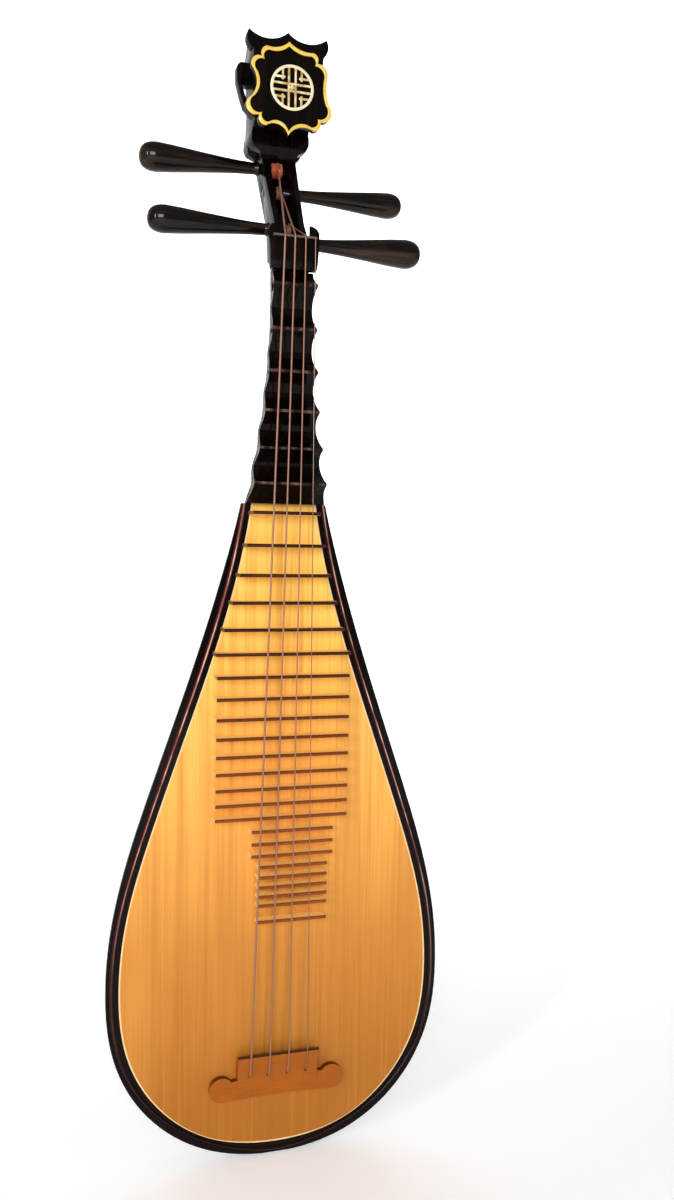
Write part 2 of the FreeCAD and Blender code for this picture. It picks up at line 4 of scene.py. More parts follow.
import bmesh
import bpy
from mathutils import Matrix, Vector


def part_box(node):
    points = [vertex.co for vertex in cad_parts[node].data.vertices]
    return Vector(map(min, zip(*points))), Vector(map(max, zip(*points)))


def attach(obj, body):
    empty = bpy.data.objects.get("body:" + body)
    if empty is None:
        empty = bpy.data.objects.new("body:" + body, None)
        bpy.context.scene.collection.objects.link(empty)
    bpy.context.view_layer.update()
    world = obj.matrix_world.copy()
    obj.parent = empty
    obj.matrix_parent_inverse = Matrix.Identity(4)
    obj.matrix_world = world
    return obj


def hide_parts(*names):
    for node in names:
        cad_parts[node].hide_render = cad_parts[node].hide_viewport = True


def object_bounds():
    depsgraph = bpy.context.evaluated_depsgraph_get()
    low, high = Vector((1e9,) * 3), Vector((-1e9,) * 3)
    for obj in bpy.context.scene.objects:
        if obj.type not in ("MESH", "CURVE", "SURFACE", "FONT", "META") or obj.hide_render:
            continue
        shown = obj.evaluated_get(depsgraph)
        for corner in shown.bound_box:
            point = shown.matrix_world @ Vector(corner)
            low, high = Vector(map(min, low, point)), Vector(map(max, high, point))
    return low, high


bl_info = {
    "name": "Pear-shaped lute finish",
    "version": (1, 0, 0),
    "blender": (4, 5, 0),
    "location": "View3D > Sidebar > Lute",
    "description": "Builds the visible pieces of an upright four-string lute over its frame",
    "category": "Object",
}

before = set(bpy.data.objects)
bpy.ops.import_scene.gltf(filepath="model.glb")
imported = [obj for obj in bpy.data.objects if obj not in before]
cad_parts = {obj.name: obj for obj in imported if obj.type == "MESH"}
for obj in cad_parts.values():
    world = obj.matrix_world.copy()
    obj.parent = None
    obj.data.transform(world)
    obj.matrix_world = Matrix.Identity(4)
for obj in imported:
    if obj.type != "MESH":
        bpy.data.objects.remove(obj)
CAD_LOW, CAD_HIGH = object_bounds()
BODY = "instrument"
PEGS = ("1", "2", "3", "4")
RIM_POINTS = 361        # places along the bead on the rim
RING_SCALE = 0.314      # wave texture scale that gives one ring in each metre


def tint(red, green, blue):
    """Linear colour of an 8-bit display colour."""
    return tuple((c / 255 / 12.92) if c <= 10 else ((c / 255 + 0.055) / 1.055) ** 2.4
                 for c in (red, green, blue))


def shade(colour, share):
    """A colour made darker or lighter."""
    return tuple(min(1.0, c * share) for c in colour)


# ---- settings --------------------------------------------------------------------------
def colour_setting(name, description, value):
    return bpy.props.FloatVectorProperty(name=name, description=description, default=value,
                                         subtype="COLOR", size=3, min=0.0, max=1.0)


def length_setting(name, description, value, low=0.0):
    return bpy.props.FloatProperty(name=name, description=description, default=value, min=low,
                                   unit="LENGTH", subtype="DISTANCE", precision=4)


class LuteFinish(bpy.types.PropertyGroup):
    """Colours of the finishes."""
    lacquer: colour_setting("Lacquer", "Black-brown lacquer of the body and neck",
                            tint(7, 4, 3))
    lacquer_grain: colour_setting("Lacquer grain", "Brown grain under the lacquer",
                                  tint(26, 13, 9))
    # Ridge line colour: partly rubbed lacquer, partly a painted highlight.
    ridge_wear_and_highlight: colour_setting("Worn ridges", "Rubbed ridges of the neck frets",
                               tint(104, 78, 68))
    peg: colour_setting("Pegs", "Turned dark wood of the pegs", tint(9, 6, 5))
    peg_grain: colour_setting("Peg grain", "Brown streaks in the pegs", tint(52, 34, 22))
    # The soundboard's pale top colour is partly a painted highlight.
    board_top_and_highlight: colour_setting("Soundboard top", "Soundboard near the neck",
                              tint(255, 206, 100))
    board_middle: colour_setting("Soundboard middle", "Soundboard under the strip frets",
                                 tint(251, 178, 84))
    board_low: colour_setting("Soundboard low", "Soundboard above the bridge",
                              tint(206, 134, 54))
    board_tail: colour_setting("Soundboard tail", "Soundboard near the tail",
                               tint(172, 104, 30))
    purfling: colour_setting("Purfling", "Thin pale line round the soundboard",
                             tint(246, 205, 150))
    binding: colour_setting("Binding", "Red-brown strip round the rim", tint(78, 20, 14))
    # Colour of the painted highlight along the binding's crown.
    binding_crown_highlight: colour_setting("Binding crown", "Worn top of the binding",
                                  tint(226, 188, 168))
    bamboo: colour_setting("Bamboo", "Cut face of the strip frets", tint(252, 214, 130))
    bamboo_skin: colour_setting("Bamboo skin", "Outer edge of the strip frets",
                                tint(84, 40, 12))
    bridge: colour_setting("Bridge", "Golden wood of the bridge", tint(162, 84, 2))
    dark_edge: colour_setting("Bridge edge", "Dark strip on the bridge", tint(52, 18, 12))
    gilt: colour_setting("Gilding", "Pale gold of the band and medallion",
                         tint(240, 200, 84))
    string: colour_setting("Wound string", "Wrapping of the thick strings",
                           tint(160, 114, 94))
    amber: colour_setting("Amber thread", "Thread on the upper left peg", tint(214, 96, 26))


class LuteFrets(bpy.types.PropertyGroup):
    """Sizes that place the strip frets."""
    scale_length: length_setting("Sounding length", "From the nut to the bridge", 0.720)
    nut_height: length_setting("Nut height", "Nut line above the origin", 0.030)
    top_at_bridge: length_setting("Top at bridge", "Fret line's height at the bridge", 0.0088)
    top_at_nut: length_setting("Top at nut", "Fret line's height at the nut", 0.0282)
    thickness: length_setting("Thickness", "Thickness of one bamboo strip", 0.003, 0.0005)


class LutePegs(bpy.types.PropertyGroup):
    """Sizes of the pegs and their windings."""
    shaft_radius: length_setting("Shaft radius", "Radius inside the pegbox", 0.0044, 0.001)
    root_radius: length_setting("Root radius", "Radius where the handle starts", 0.0056, 0.001)
    thread: length_setting("Thread radius", "Radius of one turn of winding", 0.00042, 0.0001)


class LuteStage(bpy.types.PropertyGroup):
    """Camera, lights and floor."""
    lens: bpy.props.FloatProperty(name="Lens", description="Focal length of the camera",
                                  default=32.981, min=5.0, subtype="DISTANCE_CAMERA")
    eye: bpy.props.FloatVectorProperty(name="Camera place", description="Where the camera is",
                                       default=(-0.2532307, -0.9468589, -0.2349655),
                                       subtype="TRANSLATION", unit="LENGTH", precision=4)
    turn: bpy.props.FloatVectorProperty(name="Camera turn", description="Camera rotation",
                                        default=(math.radians(87.2215886),
                                                 math.radians(-0.8495618),
                                                 math.radians(-17.7690683)),
                                        subtype="EULER", unit="ROTATION")
    floor: colour_setting("Floor", "Pale floor and backdrop", (0.92, 0.92, 0.92))
    key_power: bpy.props.FloatProperty(name="Key power", description="Large soft light",
                                       default=41.0, min=0.0, unit="POWER")
    wall_power: bpy.props.FloatProperty(name="Wall power", description="Backdrop light",
                                        default=60.0, min=0.0, unit="POWER")
    side_power: bpy.props.FloatProperty(name="Side power", description="Narrow left light",
                                        default=17.0, min=0.0, unit="POWER")
    world: bpy.props.FloatProperty(name="Room light", description="Light from all round",
                                   default=0.30, min=0.0)


# ---- finishes --------------------------------------------------------------------------
class Finish:
    """Node tree of one material, with short calls for its usual nodes."""

    def __init__(self, name):
        self.material = bpy.data.materials.new(name)
        self.material.use_nodes = True
        self.nodes = self.material.node_tree.nodes
        self.links = self.material.node_tree.links
        self.shader = self.nodes["Principled BSDF"]

    def node(self, kind, **settings):
        made = self.nodes.new("ShaderNode" + kind)
        for key, value in settings.items():
            setattr(made, key, value)
        return made

    def join(self, output, target):
        self.links.new(output, target)

    def set(self, **values):
        for key, value in values.items():
            self.shader.inputs[key.replace("_", " ")].default_value = value

    def place(self, scale=(1, 1, 1), move=(0, 0, 0)):
        """Object coordinates, stretched by scale."""
        coords = self.node("TexCoord")
        mapping = self.node("Mapping")
        mapping.inputs["Scale"].default_value = scale
        mapping.inputs["Location"].default_value = move
        self.join(coords.outputs["Object"], mapping.inputs["Vector"])
        return mapping.outputs["Vector"]

    def noise(self, scale, detail, roughness, distortion=0.0):
        made = self.node("TexNoise")
        made.inputs["Scale"].default_value = 1.0
        made.inputs["Detail"].default_value = detail
        made.inputs["Roughness"].default_value = roughness
        made.inputs["Distortion"].default_value = distortion
        self.join(self.place(scale), made.inputs["Vector"])
        return made.outputs["Fac"]

    def ramp(self, value, *stops):
        """Colour ramp; each stop is (place, colour)."""
        made = self.node("ValToRGB")
        elements = made.color_ramp.elements
        while len(elements) < len(stops):
            elements.new(0.5)
        for element, (place, colour) in zip(elements, stops):
            element.position = place
            element.color = (*colour, 1.0) if len(colour) == 3 else colour
        self.join(value, made.inputs["Fac"])
        return made.outputs["Color"]

    def mix(self, share, first, second):
        made = self.node("Mix", data_type="RGBA")
        for value, target in ((share, made.inputs[0]), (first, made.inputs[6]),
                              (second, made.inputs[7])):
            if isinstance(value, bpy.types.NodeSocket):
                self.join(value, target)
            elif isinstance(value, (int, float)):
                target.default_value = value
            else:
                target.default_value = (*value, 1.0)
        return made.outputs[2]

    def span(self, value, low, high, out_low=0.0, out_high=1.0):
        made = self.node("MapRange")
        for key, number in zip(("From Min", "From Max", "To Min", "To Max"),
                               (low, high, out_low, out_high)):
            made.inputs[key].default_value = number
        self.join(value, made.inputs["Value"])
        return made.outputs["Result"]

    def maths(self, operation, first, second=0.0):
        made = self.node("Math", operation=operation)
        for value, target in zip((first, second), made.inputs):
            if isinstance(value, bpy.types.NodeSocket):
                self.join(value, target)
            else:
                target.default_value = value
        return made.outputs[0]

    def axis(self, vector, name):
        made = self.node("SeparateXYZ")
        self.join(vector, made.inputs[0])
        return made.outputs[name]

    def along(self, name):
        """Object coordinate on one axis."""
        return self.axis(self.place(), name)

    def facing(self, name):
        """How far the surface faces along one axis."""
        return self.axis(self.node("TexCoord").outputs["Normal"], name)

    def bump(self, height, strength, distance):
        made = self.node("Bump")
        made.inputs["Strength"].default_value = strength
        made.inputs["Distance"].default_value = distance
        self.join(height, made.inputs["Height"])
        self.join(made.outputs["Normal"], self.shader.inputs["Normal"])

    def colour(self, output):
        self.join(output, self.shader.inputs["Base Color"])


def lacquered(name, dark, grain, along, show, gloss=0.2, wear_and_highlight=None, coat=0.22):
    """Dark hardwood under clear gloss, with its grain along one axis.

    wear_and_highlight is the colour of the neck frets' ridges, which all touch one sloping
    line; the pale line is partly rubbed lacquer and partly a painted highlight."""
    made = Finish(name)
    stretch = {"X": (9, 260, 260), "Z": (260, 260, 9)}[along]
    wide = {"X": (5, 70, 70), "Z": (70, 70, 5)}[along]
    fine = made.noise(stretch, 6.0, 0.6)
    broad = made.noise(wide, 3.0, 0.5, 0.6)
    streaks = made.maths("MULTIPLY", fine, broad)
    base = made.ramp(streaks, (0.22, dark), (0.22 + 0.3 / show, grain))
    # Pale line along the neck frets' ridges: partly rubbed lacquer, partly a painted
    # highlight.
    if wear_and_highlight:
        sizes = bpy.context.scene.lute_frets
        slope = (sizes.top_at_nut - sizes.top_at_bridge) / sizes.scale_length
        foot = sizes.top_at_bridge - slope * (sizes.nut_height - sizes.scale_length)
        line = made.maths("ADD", made.maths("MULTIPLY", made.along("Z"), slope), foot)
        under = made.maths("ADD", made.along("Y"), line)
        patchy = made.span(made.noise((110, 40, 60), 3.0, 0.6), 0.45, 0.66,
                           0.08, 1.0)
        ridge = made.span(under, 0.0005, 0.0001)
        base = made.mix(made.maths("MULTIPLY", ridge, patchy), base, wear_and_highlight)
    made.colour(base)
    made.join(made.span(broad, 0.3, 0.7, gloss, gloss + 0.12),
              made.shader.inputs["Roughness"])
    made.bump(fine, 0.08, 0.0004)
    made.set(Coat_Weight=coat, Coat_Roughness=0.09, Specular_IOR_Level=0.01)
    return made.material


def soundboard_finish(top, middle, low, tail):
    """Straight-grained softwood, paler near the neck, where the pale colour is partly a
    painted highlight, and browner near the tail.
    """
    made = Finish("soundboard_grain")
    lines = made.noise((520, 40, 5), 5.0, 0.65)
    bands = made.noise((85, 20, 1.4), 3.0, 0.5)
    wash = made.noise((12, 12, 5), 2.0, 0.5)
    height = made.along("Z")
    # Pale near the neck partly as a painted highlight; browner towards the tail.
    base = made.ramp(made.span(height, -0.79, -0.20), (0.08, tail), (0.34, low),
                     (0.58, middle), (0.84, top))
    dark_line = shade(tail, 0.72)
    grain = made.mix(made.span(lines, 0.48, 0.74, 0.0, 0.42), base, dark_line)
    banded = made.mix(made.span(bands, 0.48, 0.70, 0.0, 0.42), grain,
                      shade(tail, 0.9))
    streaks = made.noise((230, 30, 3), 2.0, 0.5)
    banded = made.mix(made.span(streaks, 0.55, 0.72, 0.0, 0.45), banded, low)
    made.colour(made.mix(made.span(wash, 0.50, 0.75, 0.0, 0.22), banded, middle))
    made.join(made.span(bands, 0.3, 0.7, 0.42, 0.55), made.shader.inputs["Roughness"])
    made.bump(lines, 0.12, 0.00025)
    made.set(Specular_IOR_Level=0.2)
    return made.material


def bamboo_finish(face, end):
    """Cut face of bamboo with fine fibres, and the ends of the upper strips darkened as
    painted shade.
    """
    made = Finish("bamboo_face")
    fibre = made.noise((30, 900, 900), 3.0, 0.6)
    cut = made.mix(made.span(fibre, 0.5, 0.75, 0.0, 0.5), face,
                   shade(face, 0.62))
    # Painted shade: the end faces of the upper strips are darkened.
    facing = made.maths("ABSOLUTE", made.facing("X"))
    high = made.span(made.along("Z"), -0.36, -0.33, 0.12, 0.85)
    end_shade = made.maths("MULTIPLY", made.span(facing, 0.4, 0.8), high)
    made.colour(made.mix(end_shade, cut, end))
    made.bump(fibre, 0.1, 0.0002)
    made.set(Roughness=0.45, Specular_IOR_Level=0.3)
    return made.material


def bamboo_skin_finish(skin):
    """Outer skin of the strips: very dark near the neck, brown lower down."""
    made = Finish("bamboo_skin")
    height = made.along("Z")
    fibre = made.noise((40, 500, 500), 3.0, 0.6)
    base = made.ramp(made.span(height, -0.50, -0.32), (0.0, shade(skin, 3.0)),
                     (1.0, shade(skin, 0.25)))
    made.colour(made.mix(made.span(fibre, 0.45, 0.7, 0.0, 0.5), base,
                         shade(skin, 1.7)))
    made.set(Roughness=0.4, Specular_IOR_Level=0.2)
    return made.material


def bridge_finish(wood):
    """Golden close-grained wood with fine lines across the bridge."""
    made = Finish("bridge_gold")
    lines = made.noise((70, 300, 420), 4.0, 0.6)
    wash = made.noise((40, 40, 40), 2.0, 0.5)
    base = made.mix(made.span(lines, 0.45, 0.75, 0.0, 0.45), wood,
                    shade(wood, 0.66))
    washed = made.mix(made.span(wash, 0.45, 0.7, 0.0, 0.3), base,
                      shade(wood, 1.3))
    facing = made.facing("Z")
    made.colour(made.mix(made.span(facing, 0.35, 0.75, 0.0, 0.85), washed,
                         shade(wood, 0.16)))
    made.bump(lines, 0.08, 0.0002)
    made.set(Roughness=0.4, Specular_IOR_Level=0.25)
    return made.material


def plain_finish(name, colour, roughness, coat=0.0, vary=0.18, scale=90, metallic=0.0):
    """Even finish with slight mottling."""
    made = Finish(name)
    mottle = made.noise((scale, scale, scale), 3.0, 0.55)
    made.colour(made.mix(made.span(mottle, 0.35, 0.7, 0.0, 1.0), colour,
                         shade(colour, 1 - vary)))
    made.join(made.span(mottle, 0.3, 0.7, roughness - 0.04, roughness + 0.06),
              made.shader.inputs["Roughness"])
    made.set(Coat_Weight=coat, Coat_Roughness=0.15, Metallic=metallic)
    return made.material


def binding_finish(colour, crown):
    """Glossy red-brown strip with a painted highlight along its crown, darker towards the
    tail, and darker at the right as painted shade.
    """
    made = Finish("binding_gloss")
    depth = made.along("Y")
    streak = made.noise((120, 120, 10), 4.0, 0.6)
    fade = made.span(made.along("Z"), -0.68, -0.40, 0.0, 1.0)
    # Painted highlight along the bead's crown, in dashes, fading out towards the tail.
    wear_and_highlight = made.maths("MULTIPLY", made.span(depth, -0.00142, -0.00156),
                      made.span(streak, 0.42, 0.62, 0.15, 1.0))
    wear_and_highlight = made.maths("MULTIPLY", wear_and_highlight, fade)
    # Painted shade: darker at the right; the strip is also darker towards the tail.
    side = made.span(made.along("X"), -0.04, 0.04, 1.0, 0.35)
    base = made.mix(made.maths("MULTIPLY", fade, side), shade(colour, 0.16),
                    colour)
    made.colour(made.mix(wear_and_highlight, base, crown))
    made.set(Roughness=0.16, Specular_IOR_Level=0.15, Coat_Weight=0.1, Coat_Roughness=0.06)
    return made.material


def gilt_finish(colour):
    """Pale gold coat, rubbed brighter in places and browner in others, with painted shade
    darkening it down its sides.
    """
    made = Finish("gilt_coat")
    rub = made.noise((150, 150, 150), 4.0, 0.6)
    brown = made.noise((420, 420, 420), 2.0, 0.5)
    wear_and_highlight = made.mix(made.span(rub, 0.52, 0.72, 0.0, 0.7), colour,
                    tuple(min(1.0, 0.35 + 0.75 * c) for c in colour))
    dirt_and_shade = (colour[0] * 0.45, colour[1] * 0.34, colour[2] * 0.2)
    coat = made.mix(made.span(brown, 0.55, 0.75, 0.0, 0.45), wear_and_highlight, dirt_and_shade)
    low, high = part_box("medallion")
    middle = (Vector(low) + Vector(high)) / 2
    reach = made.node("VectorMath", operation="LENGTH")
    made.join(made.place((1, 0, 1), move=(-middle.x, 0, -middle.z)), reach.inputs[0])
    away = reach.outputs["Value"]
    radius = (high[0] - low[0]) / 2
    coat = made.mix(made.span(away, radius - 0.0022, radius - 0.0028), coat,
                    made.mix(made.span(rub, 0.35, 0.6), (colour[0] * 0.5, colour[1] * 0.42,
                                                         colour[2] * 0.4), (0.86, 0.72, 0.42)))
    ring = made.maths("MULTIPLY", made.span(away, radius - 0.0027, radius - 0.0022),
                      made.span(away, radius + 0.0030, radius + 0.0020))
    coat = made.mix(made.maths("MULTIPLY", ring, 0.75), coat, (0.9, 0.84, 0.66))
    # Painted shade: faces set back behind the band's front are darkened.
    depth = made.along("Y")
    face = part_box("shield_band")[0][1]
    made.colour(made.mix(made.span(depth, face + 0.00015, face + 0.0007), coat,
                         (dirt_and_shade[0] * 0.5, dirt_and_shade[1] * 0.5, dirt_and_shade[2] * 0.5)))
    made.bump(brown, 0.15, 0.0003)
    made.set(Roughness=0.34, Metallic=0.25)
    return made.material


def string_finish(name, colour, pitch, metallic=0.0):
    """Wrapping seen as fine rings across the string, with painted shade in the grooves between
    the turns.
    """
    made = Finish(name)
    wave = made.node("TexWave", bands_direction="Z")
    wave.inputs["Scale"].default_value = RING_SCALE / pitch
    made.join(made.place(), wave.inputs["Vector"])
    # Painted shade: darker in the grooves between the turns.
    made.colour(made.mix(made.span(wave.outputs["Fac"], 0.0, 0.6, 0.5, 0.0), colour,
                         shade(colour, 0.5)))
    made.bump(wave.outputs["Fac"], 0.35, 0.0001)
    made.set(Roughness=0.32, Metallic=metallic)
    return made.material


def amber_finish(colour):
    """Orange thread, darker and redder towards the middle of the winding."""
    made = Finish("amber_thread")
    low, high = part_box("winding_4")
    middle = (Vector(low) + Vector(high)) / 2
    place = made.place(move=(-middle.x, 0, 0))
    offset = made.maths("ABSOLUTE", made.axis(place, "X"))
    fuzz = made.noise((700, 700, 700), 2.0, 0.5)
    centre = (colour[0] * 0.5, colour[1] * 0.16, colour[2] * 0.35)
    base = made.ramp(made.span(offset, 0.0006, 0.0042), (0.0, centre), (1.0, colour))
    made.colour(made.mix(made.span(fuzz, 0.45, 0.7, 0.0, 0.4), base,
                         shade(colour, 1.5)))
    made.set(Roughness=0.38, Sheen_Weight=0.2, Coat_Weight=0.3)
    return made.material


# ---- meshes ----------------------------------------------------------------------------
def add_object(name, mesh):
    made = bpy.data.objects.new(name, mesh)
    bpy.context.scene.collection.objects.link(made)
    return made


def mesh_from(name, points, faces, sharp=40.0):
    mesh = bpy.data.meshes.new(name)
    mesh.from_pydata([tuple(p) for p in points], [], faces)
    mesh.validate()
    mesh.shade_smooth()
    mesh.set_sharp_from_angle(angle=math.radians(sharp))
    return mesh


def clean_copy(node, name, sharp=35.0):
    """Copy of a node's mesh with its doubles merged and its flat faces joined."""
    bm = bmesh.new()
    bm.from_mesh(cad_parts[node].data)
    bmesh.ops.remove_doubles(bm, verts=bm.verts, dist=3e-6)
    bmesh.ops.dissolve_limit(bm, angle_limit=math.radians(0.05), verts=bm.verts,
                             edges=bm.edges)
    bm.verts.index_update()
    points = [v.co.copy() for v in bm.verts]
    faces = [[v.index for v in f.verts] for f in bm.faces]
    bm.free()
    return add_object(name, mesh_from(name, points, faces, sharp))


def soften(piece, width, angle=35.0, segments=3):
    """Rounded edges, finished into the mesh."""
    bevel = piece.modifiers.new("Round edges", "BEVEL")
    bevel.width = width
    bevel.segments = segments
    bevel.limit_method = "ANGLE"
    bevel.angle_limit = math.radians(angle)
    bake(piece)
    piece.data.shade_smooth()
    piece.data.set_sharp_from_angle(angle=math.radians(angle))
    return piece


def bake(piece):
    """Turns the evaluated result into a plain mesh and removes the modifiers."""
    shown = piece.evaluated_get(bpy.context.evaluated_depsgraph_get())
    mesh = bpy.data.meshes.new_from_object(shown)
    piece.modifiers.clear()
    piece.data = mesh
    mesh.name = piece.name
    return piece


def finished(piece, body, slot, material, *nodes):
    """Gives a piece its finish when one is given, puts it under its body and hides the nodes
    it stands for.
    """
    if material is not None:
        piece.data.materials.clear()
        piece.data.materials.append(material)
    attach(piece, body)
    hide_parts(*nodes)


def repaint(node, material):
    """New finish on a node that keeps its own mesh."""
    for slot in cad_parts[node].material_slots:
        slot.material = material


def turned(name, profile, side, y, z, segments=56):
    """Solid of revolution about the X direction through (y, z)."""
    points = []
    faces = []
    for x, radius in profile:
        for step in range(segments):
            angle = 2 * math.pi * step / segments
            points.append((side * x, y + radius * math.cos(angle),
                           z + radius * math.sin(angle)))
    for ring in range(len(profile) - 1):
        for step in range(segments):
            ahead = (step + 1) % segments
            low, high = ring * segments, (ring + 1) * segments
            quad = [low + step, low + ahead, high + ahead, high + step]
            faces.append(quad if side < 0 else quad[::-1])
    last = (len(profile) - 1) * segments
    for start, x, flip in ((0, profile[0][0], False), (last, profile[-1][0], True)):
        points.append((side * x, y, z))
        for step in range(segments):
            ahead = (step + 1) % segments
            fan = [start + ahead, start + step, len(points) - 1]
            faces.append(fan[::-1] if flip == (side < 0) else fan)
    mesh = mesh_from(name, points, faces, 50)
    outwards(mesh)
    return add_object(name, mesh)


def outwards(mesh):
    """Points a closed mesh's faces outwards."""
    bm = bmesh.new()
    bm.from_mesh(mesh)
    bmesh.ops.remove_doubles(bm, verts=bm.verts, dist=1e-7)
    bmesh.ops.recalc_face_normals(bm, faces=bm.faces)
    bm.to_mesh(mesh)
    bm.free()


def front_loop(node):
    """Edge loop of a ring node's front face, walked round once, as (x, z) points."""
    bm = bmesh.new()
    bm.from_mesh(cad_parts[node].data)
    bmesh.ops.remove_doubles(bm, verts=bm.verts, dist=3e-6)
    front = [f for f in bm.faces if all(abs(v.co.y) < 1e-5 for v in f.verts)]
    inside = set(front)
    rim = [e for e in {e for f in front for e in f.edges}
           if sum(f in inside for f in e.link_faces) == 1]
    ahead = {}
    for edge in rim:
        for vert in edge.verts:
            ahead.setdefault(vert, []).append(edge)
    start = max(ahead, key=lambda v: (round(v.co.z, 5), v.co.x))
    loop = [start]
    edge = ahead[start][0]
    while True:
        vert = edge.other_vert(loop[-1])
        if vert is start:
            break
        loop.append(vert)
        edge = [e for e in ahead[vert] if e is not edge][0]
    points = [(v.co.x, v.co.z) for v in loop]
    bm.free()
    return points


def evenly(points, count):
    """A polyline's points, evenly spaced along it."""
    lengths = [0.0]
    for a, b in zip(points, points[1:]):
        lengths.append(lengths[-1] + math.dist(a, b))
    made = []
    place = 0
    for step in range(count):
        want = lengths[-1] * step / (count - 1)
        while place < len(points) - 2 and lengths[place + 1] < want:
            place += 1
        share = (want - lengths[place]) / max(1e-9, lengths[place + 1] - lengths[place])
        made.append(tuple(p + (q - p) * share
                          for p, q in zip(points[place], points[place + 1])))
    return made


def rim_bead(name, node, height, sink):
    """Rounded bead along a ring node: its loop's outer and inner runs, joined by arches."""
    loop = front_loop(node)
    top = max(z for _, z in loop)
    corners = [i for i, (_, z) in enumerate(loop) if z > top - 1e-5]
    widest = sorted(corners, key=lambda i: loop[i][0])
    left_out, left_in, right_in, right_out = widest[0], widest[1], widest[-2], widest[-1]

    def run(a, b, other):
        forward = [loop[(a + k) % len(loop)] for k in range((b - a) % len(loop) + 1)]
        if loop[other] in forward:
            forward = [loop[(b + k) % len(loop)] for k in range((a - b) % len(loop) + 1)][::-1]
        return evenly(forward, RIM_POINTS)

    outer = run(left_out, right_out, left_in)
    inner = run(left_in, right_in, left_out)
    steps = 9
    points = []
    for (xo, zo), (xi, zi) in zip(outer, inner):
        for step in range(steps):
            share = step / (steps - 1)
            rise = height * math.sin(math.pi * share) ** 0.8
            points.append((xo + (xi - xo) * share, -rise, zo + (zi - zo) * share))
        points.append((xi, sink, zi))
        points.append((xo, sink, zo))
    ring = steps + 2
    faces = []
    for place in range(len(outer) - 1):
        for step in range(ring):
            ahead = (step + 1) % ring
            faces.append([place * ring + step, place * ring + ahead,
                          (place + 1) * ring + ahead, (place + 1) * ring + step])
    faces.append(list(range(ring)))
    faces.append([(len(outer) - 1) * ring + step for step in range(ring)][::-1])
    mesh = mesh_from(name, points, faces, 50)
    outwards(mesh)
    return add_object(name, mesh)


# ---- geometry nodes --------------------------------------------------------------------
class Tree:
    """Geometry node group with named inputs, used as one modifier."""

    def __init__(self, name):
        self.group = bpy.data.node_groups.new(name, "GeometryNodeTree")
        self.sockets = {}
        self.group.interface.new_socket("Geometry", in_out="INPUT",
                                        socket_type="NodeSocketGeometry")
        self.group.interface.new_socket("Geometry", in_out="OUTPUT",
                                        socket_type="NodeSocketGeometry")
        self.start = self.group.nodes.new("NodeGroupInput")
        self.end = self.group.nodes.new("NodeGroupOutput")

    def input(self, name, kind):
        made = self.group.interface.new_socket(name, in_out="INPUT",
                                               socket_type="NodeSocket" + kind)
        self.sockets[name] = made.identifier
        return self.start.outputs[name]

    def node(self, kind, links=None, **settings):
        made = self.group.nodes.new(kind)
        for key, value in settings.items():
            setattr(made, key, value)
        for key, value in (links or {}).items():
            target = made.inputs[key]
            if isinstance(value, bpy.types.NodeSocket):
                self.group.links.new(value, target)
            else:
                target.default_value = value
        return made

    def maths(self, operation, first, second=0.0):
        return self.node("ShaderNodeMath", {0: first, 1: second},
                         operation=operation).outputs[0]

    def attribute(self, name):
        return self.node("GeometryNodeInputNamedAttribute", {"Name": name},
                         data_type="FLOAT").outputs["Attribute"]

    def vector(self, x=0.0, y=0.0, z=0.0):
        return self.node("ShaderNodeCombineXYZ", {0: x, 1: y, 2: z}).outputs[0]

    def mark(self, geometry, name, value):
        return self.node("GeometryNodeStoreNamedAttribute", {
            "Geometry": geometry, "Name": name, "Value": value},
            data_type="FLOAT", domain="FACE").outputs[0]

    def close(self, geometry, *materials):
        """Real geometry with the first material all over and each further one where its
        attribute is above 0.5."""
        last = self.node("GeometryNodeRealizeInstances", {"Geometry": geometry}).outputs[0]
        for material, name in materials:
            links = {"Geometry": last, "Material": material}
            if name:
                links["Selection"] = self.maths("GREATER_THAN", self.attribute(name), 0.5)
            last = self.node("GeometryNodeSetMaterial", links).outputs[0]
        self.group.links.new(last, self.end.inputs[0])

    def apply(self, piece, **values):
        modifier = piece.modifiers.new(self.group.name, "NODES")
        modifier.node_group = self.group
        for key, value in values.items():
            modifier[self.sockets[key.replace("_", " ")]] = value
        return bake(piece)


